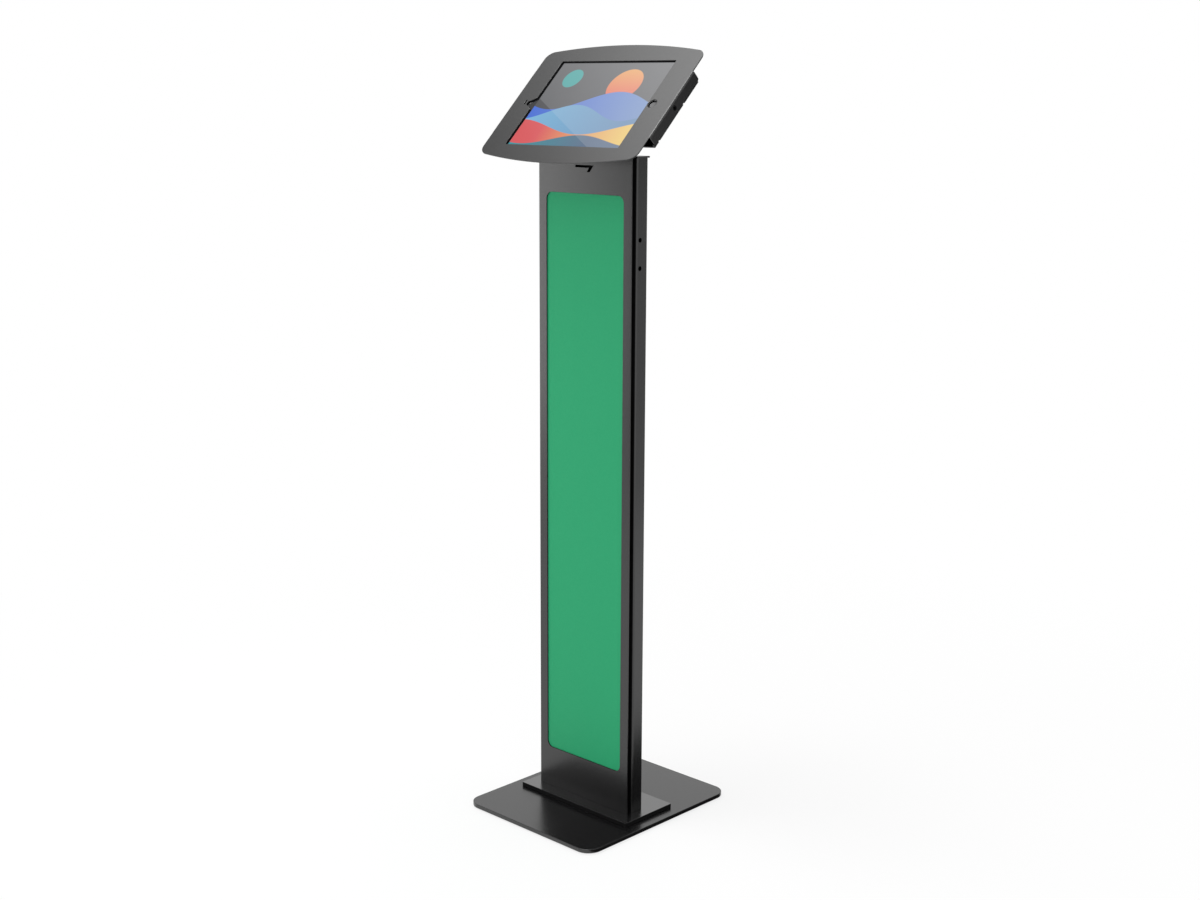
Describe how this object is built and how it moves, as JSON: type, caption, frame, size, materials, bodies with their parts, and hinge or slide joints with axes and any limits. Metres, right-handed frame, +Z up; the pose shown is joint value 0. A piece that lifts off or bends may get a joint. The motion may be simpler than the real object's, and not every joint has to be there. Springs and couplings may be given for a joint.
{
  "type": "tablet kiosk stand",
  "caption": "Floor-standing kiosk: flat base, slim column with a slide-in graphic panel behind a windowed frame, and a slanted locking tablet enclosure with a hinged face frame.",
  "frame": {"origin": "on the floor, under the middle of the base plate", "axes": "+X to the viewer's right, -Y towards the viewer at the front, +Z up along the column"},
  "size_m": [0.298, 0.296, 1.09],
  "materials": {
    "powder_black": "satin powder coat",
    "frame_black": "satin powder coat",
    "zinc": "zinc plated",
    "lock_steel": "black nickel",
    "rubber_black": "matte",
    "foam_grey": "soft foam",
    "print_green": "satin printed sheet",
    "board_black": "matte foam board",
    "tablet_shell": "bead blasted",
    "screen_glass": "gloss glass over a lit screen",
    "button_black": "gloss"
  },
  "bodies": {
    "stand": {"base_plate": "powder_black", "floor_pads": "rubber_black", "base_bolts": "zinc", "foot_plate": "powder_black", "rear_channel": "powder_black", "rear_cover": "powder_black", "cover_screws": "zinc", "outlet_grommet": "rubber_black", "front_frame": "powder_black", "frame_nuts": "zinc", "top_rail": "powder_black", "bottom_rail": "powder_black", "head_bracket": "powder_black", "cap_screws": "zinc", "vesa_screws": "zinc", "cable_grommet": "rubber_black", "rear_housing": "powder_black", "hinge_pin": "zinc", "tablet_tray": "powder_black", "tray_screws": "zinc", "foam_pads": "foam_grey", "tablet_body": "tablet_shell", "tablet_glass": "screen_glass", "lock_catch": "zinc"},
    "panel": {"graphic_sheet": "print_green", "backing_board": "board_black"},
    "face": {"face_frame": "frame_black", "face_gasket": "foam_grey", "lock_barrel": "lock_steel", "lock_nut": "zinc"},
    "lock": {"lock_plug": "lock_steel", "lock_cam": "zinc"},
    "home_key": {"home_button": "button_black"}
  },
  "joints": [
    {"name": "panel_slide", "type": "slide", "parent": "stand", "child": "panel", "axis": [1, 0, 0], "range_m": [0, 0.165]},
    {"name": "face_swing", "type": "hinge", "parent": "stand", "child": "face", "pos_m": [-0.1468, -0.01228, 1.00178], "axis": [0, -0.7071, -0.7071], "range_deg": [0, 85]},
    {"name": "lock_turn", "type": "hinge", "parent": "face", "child": "lock", "pos_m": [0.14, -0.0178, 1.0073], "axis": [1, 0, 0], "range_deg": [0, 90]},
    {"name": "home_press", "type": "slide", "parent": "stand", "child": "home_key", "axis": [0, 0.7071, -0.7071], "range_m": [0, 0.0005], "stiffness_N_per_m": 1500}
  ]
}
